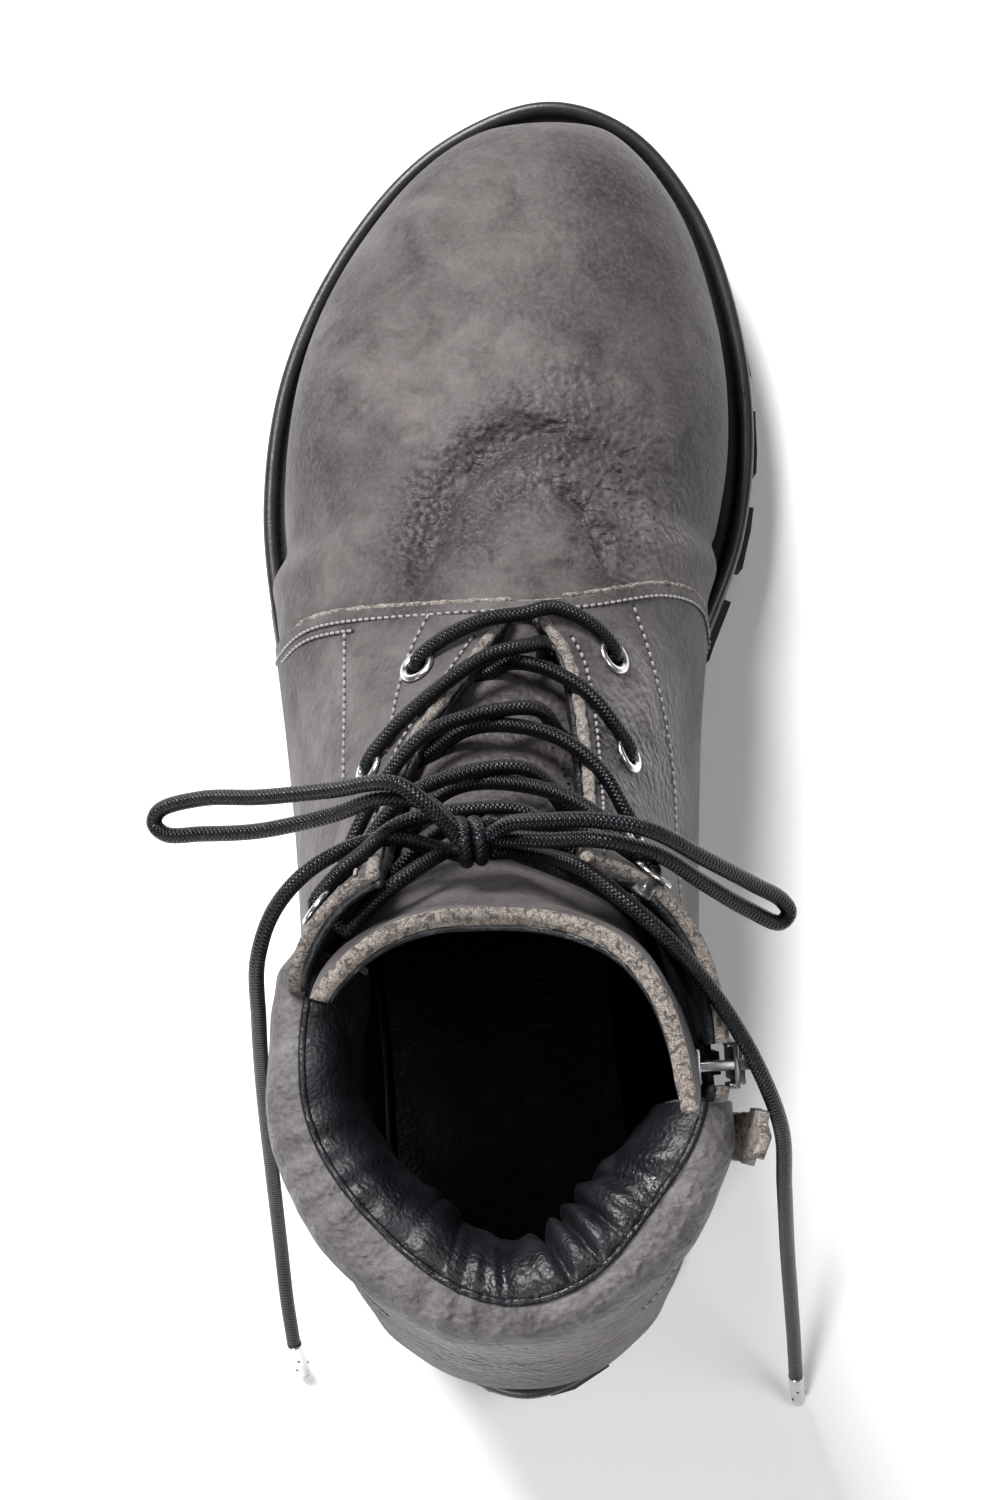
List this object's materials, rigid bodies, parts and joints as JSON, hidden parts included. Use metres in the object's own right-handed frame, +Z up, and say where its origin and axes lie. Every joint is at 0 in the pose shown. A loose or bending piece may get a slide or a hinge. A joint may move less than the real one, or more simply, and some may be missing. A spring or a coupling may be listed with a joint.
{
  "type": "lace-up boot",
  "caption": "Lace-up ankle boot for the left foot in soft nubuck, with a cleated rubber sole, a padded collar, an inner side zip with a pull tab and a long round lace tied in a bow",
  "frame": {"origin": "on the floor, under the middle of the heel", "axes": "+Y points at the toe, +X at the inner side of the left foot, +Z up; the boot stands on its heel and forefoot"},
  "size_m": [0.1312, 0.3051, 0.1764],
  "materials": {
    "sole_rubber": "matt moulded black rubber",
    "midsole_rubber": "smooth black rubber, slight sheen on the rim",
    "insole_leather": "black lining leather",
    "nubuck": "brushed grey nubuck with a mottled nap",
    "eyelet_metal": "nickel plated, bright",
    "lace_cotton": "waxed braided round lace",
    "zip_tape": "woven tape with a moulded chain",
    "zip_metal": "dark nickel, worn bright on the edges"
  },
  "bodies": {
    "boot": {"outsole": "sole_rubber", "midsole": "midsole_rubber", "insole": "insole_leather", "upper": "nubuck", "tongue": "nubuck", "collar_pad": "nubuck", "zip_guard": "nubuck", "eyelet_outer_1": "eyelet_metal", "eyelet_inner_1": "eyelet_metal", "eyelet_outer_2": "eyelet_metal", "eyelet_inner_2": "eyelet_metal", "eyelet_outer_3": "eyelet_metal", "eyelet_inner_3": "eyelet_metal", "eyelet_outer_4": "eyelet_metal", "eyelet_inner_4": "eyelet_metal", "eyelet_outer_5": "eyelet_metal", "eyelet_inner_5": "eyelet_metal", "lace_bar": "lace_cotton", "lace_crossing_1": "lace_cotton", "lace_crossing_2": "lace_cotton", "lace_crossing_3": "lace_cotton", "lace_crossing_4": "lace_cotton", "lace_knot": "lace_cotton", "lace_loop_outer": "lace_cotton", "lace_loop_inner": "lace_cotton", "lace_end_outer": "lace_cotton", "lace_end_inner": "lace_cotton", "aglet_outer": "eyelet_metal", "aglet_inner": "eyelet_metal", "zip_tape": "zip_tape", "zip_slider": "zip_metal"},
    "pull": {"zip_pull": "zip_metal"}
  },
  "joints": [
    {"name": "zip_pull_hinge", "type": "hinge", "parent": "boot", "child": "pull", "pos_m": [0.04634, 0.02783, 0.14823], "axis": [0.0327, -0.9921, -0.1213], "range_deg": [0, 80]}
  ]
}
